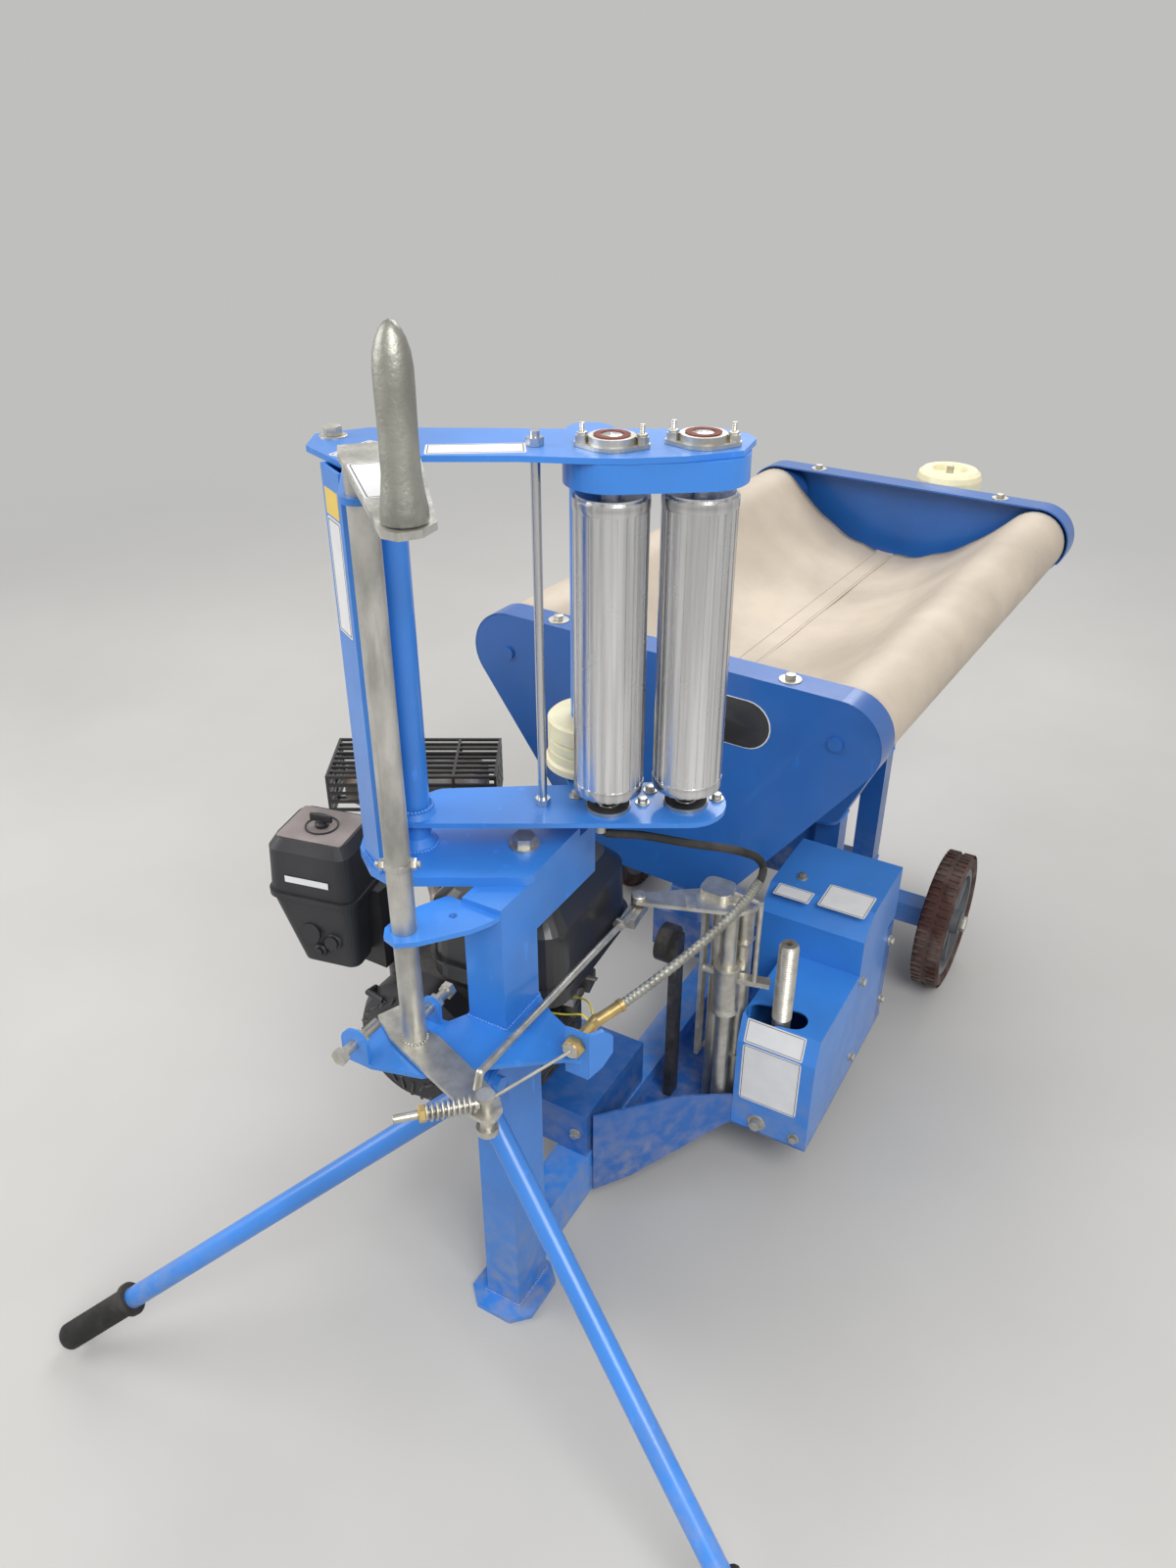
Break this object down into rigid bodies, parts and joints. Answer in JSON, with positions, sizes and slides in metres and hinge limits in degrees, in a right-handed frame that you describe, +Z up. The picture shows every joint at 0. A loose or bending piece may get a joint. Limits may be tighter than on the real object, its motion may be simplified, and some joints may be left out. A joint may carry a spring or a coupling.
{
  "type": "bale wrapper",
  "caption": "Towable round bale wrapper: engine, belt turntable on road wheels and a front post with an upright film stretcher, control lever and pull handles.",
  "frame": {"origin": "middle of the front post's foot pad, on its underside, on the floor", "axes": "+X to the machine's right, +Y back from the post to the turntable, +Z up"},
  "size_m": [1.0347, 1.9091, 1.2933],
  "materials": {
    "blue_paint": "gloss enamel",
    "dark_blue_paint": "gloss enamel in the shade",
    "zinc": "zinc plated",
    "cream_nylon": "cast nylon",
    "ribbed_aluminium": "extruded, bright",
    "black_plastic": "moulded",
    "dark_steel": "oiled, dark",
    "black_enamel": "gloss enamel",
    "exhaust_steel": "heat tinted",
    "canvas": "coated canvas",
    "tyre": "solid rubber",
    "grey_plastic": "moulded",
    "black_rubber": "moulded"
  },
  "bodies": {
    "machine": {"front_frame": "blue_paint", "handle_bracket": "blue_paint", "rear_frame": "dark_blue_paint", "drive_tray": "dark_blue_paint", "mid_plate": "blue_paint", "stop_bolts": "zinc", "post_head": "blue_paint", "column": "blue_paint", "top_arm": "blue_paint", "lower_arm": "blue_paint", "roller_head": "blue_paint", "film_bearings": "zinc", "tie_rod": "zinc", "film_spindle": "blue_paint", "control_pipe": "zinc", "control_grip": "zinc", "low_lever": "zinc", "return_spring": "zinc", "cable_ends": "zinc", "conduit": "black_plastic", "clutch_rod": "zinc", "clutch_arm": "zinc", "clutch_post": "zinc", "stroke_screw": "zinc", "engine_bed": "dark_blue_paint", "engine_block": "dark_steel", "starter_cover": "black_plastic", "air_cleaner": "black_plastic", "fuel_tank": "black_enamel", "muffler": "exhaust_steel", "muffler_guard": "black_enamel", "drive_pulleys": "dark_steel", "drive_cover_low": "blue_paint", "drive_cover_tall": "blue_paint", "drive_cover_rear": "dark_blue_paint", "turntable_base": "dark_blue_paint", "axle": "blue_paint"},
    "table": {"table_hub": "dark_steel", "table_frame": "dark_blue_paint", "table_belt": "canvas", "guide_arm": "zinc"},
    "belt_roller_left": {"belt_roller_left": "canvas"},
    "belt_roller_right": {"belt_roller_right": "canvas"},
    "guide_wheel": {"guide_wheel": "cream_nylon"},
    "film_roller_a": {"film_roller_a": "ribbed_aluminium"},
    "film_roller_b": {"film_roller_b": "ribbed_aluminium"},
    "film_core": {"film_core": "cream_nylon"},
    "wheel_left": {"tyre_left": "tyre", "rim_left": "grey_plastic"},
    "wheel_right": {"tyre_right": "tyre", "rim_right": "grey_plastic"},
    "handles": {"handle_left": "blue_paint", "handle_right": "blue_paint", "grip_left": "black_rubber", "grip_right": "black_rubber"}
  },
  "joints": [
    {"name": "table_turn", "type": "hinge", "parent": "machine", "child": "table", "pos_m": [0, 0.92, 0.4], "axis": [0, 0, 1], "continuous": true},
    {"name": "belt_roller_left_spin", "type": "hinge", "parent": "table", "child": "belt_roller_left", "pos_m": [-0.25465, 0.93335, 0.71], "axis": [0.0523, 0.9986, 0], "continuous": true},
    {"name": "belt_roller_right_spin", "type": "hinge", "parent": "table", "child": "belt_roller_right", "pos_m": [0.25465, 0.90665, 0.71], "axis": [0.0523, 0.9986, 0], "continuous": true},
    {"name": "guide_wheel_spin", "type": "hinge", "parent": "table", "child": "guide_wheel", "pos_m": [0.08066, 1.46553, 0.736], "axis": [0, 0, 1], "continuous": true},
    {"name": "film_roller_a_spin", "type": "hinge", "parent": "machine", "child": "film_roller_a", "pos_m": [0.06189, 0.14081, 0.746], "axis": [0, 0, 1], "continuous": true},
    {"name": "film_roller_b_spin", "type": "hinge", "parent": "machine", "child": "film_roller_b", "pos_m": [0.1336, 0.1926, 0.746], "axis": [0, 0, 1], "continuous": true},
    {"name": "film_core_spin", "type": "hinge", "parent": "machine", "child": "film_core", "pos_m": [-0.0053, 0.21518, 0.746], "axis": [0, 0, 1], "continuous": true},
    {"name": "wheel_left_spin", "type": "hinge", "parent": "machine", "child": "wheel_left", "pos_m": [-0.313, 0.95, 0.125], "axis": [1, 0, 0], "continuous": true},
    {"name": "wheel_right_spin", "type": "hinge", "parent": "machine", "child": "wheel_right", "pos_m": [0.313, 0.95, 0.125], "axis": [1, 0, 0], "continuous": true},
    {"name": "handles_lift", "type": "hinge", "parent": "machine", "child": "handles", "pos_m": [0, -0.052, 0.44], "axis": [-1, 0, 0], "range_deg": [0, 60]}
  ],
  "couplings": [
    {"joint": "belt_roller_right_spin", "follows": "belt_roller_left_spin", "ratio": 1},
    {"joint": "film_roller_b_spin", "follows": "film_roller_a_spin", "ratio": -1.5}
  ]
}
